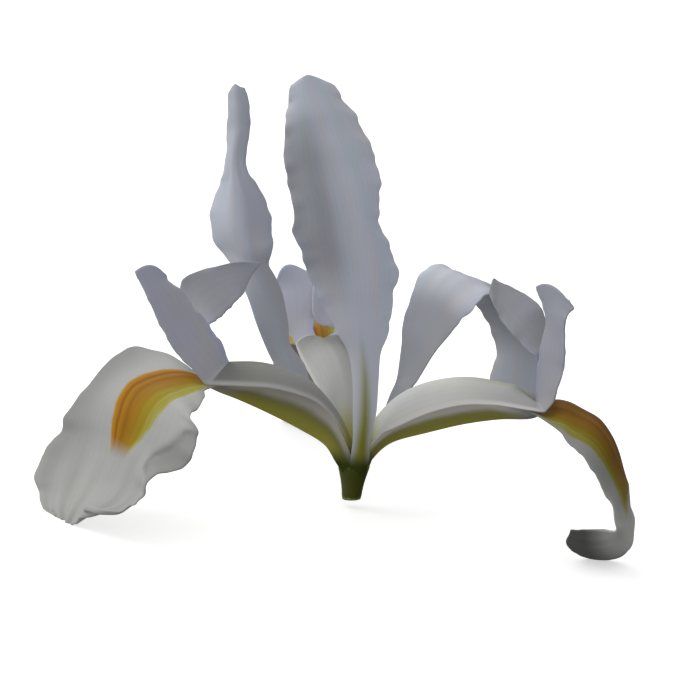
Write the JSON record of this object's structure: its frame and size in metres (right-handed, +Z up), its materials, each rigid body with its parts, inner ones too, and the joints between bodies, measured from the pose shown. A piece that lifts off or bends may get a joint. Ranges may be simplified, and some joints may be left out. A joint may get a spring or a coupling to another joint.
{
  "type": "iris flower",
  "caption": "Loose white iris blossom with arching falls marked with an orange signal, upright and drooping standards and crested style arms, resting on its falls.",
  "frame": {"origin": "centre of the bounding box on the surface that the blossom rests on", "axes": "+Z up from the resting surface, +X to the right as the blossom is seen from its front standard, +Y away towards the back fall"},
  "size_m": [0.1132, 0.1064, 0.0832],
  "materials": {
    "fall_tissue": "satin, white with an orange to yellow signal, olive on the keel",
    "standard_tissue": "satin, white with a lavender cast and fine veins",
    "style_tissue": "satin, white with greenish margins",
    "tube_tissue": "satin green",
    "filament_tissue": "matte",
    "pollen": "matte, powdery"
  },
  "bodies": {
    "root": {"tube": "tube_tissue", "fall_left": "fall_tissue", "fall_right": "fall_tissue", "fall_back": "fall_tissue", "standard_front": "standard_tissue", "standard_left": "standard_tissue", "standard_right": "standard_tissue", "style_arm_left": "style_tissue", "style_arm_right": "style_tissue", "style_arm_back": "style_tissue", "filament_left": "filament_tissue", "filament_right": "filament_tissue", "filament_back": "filament_tissue", "anther_left": "pollen", "anther_right": "pollen", "anther_back": "pollen"}
  },
  "joints": []
}
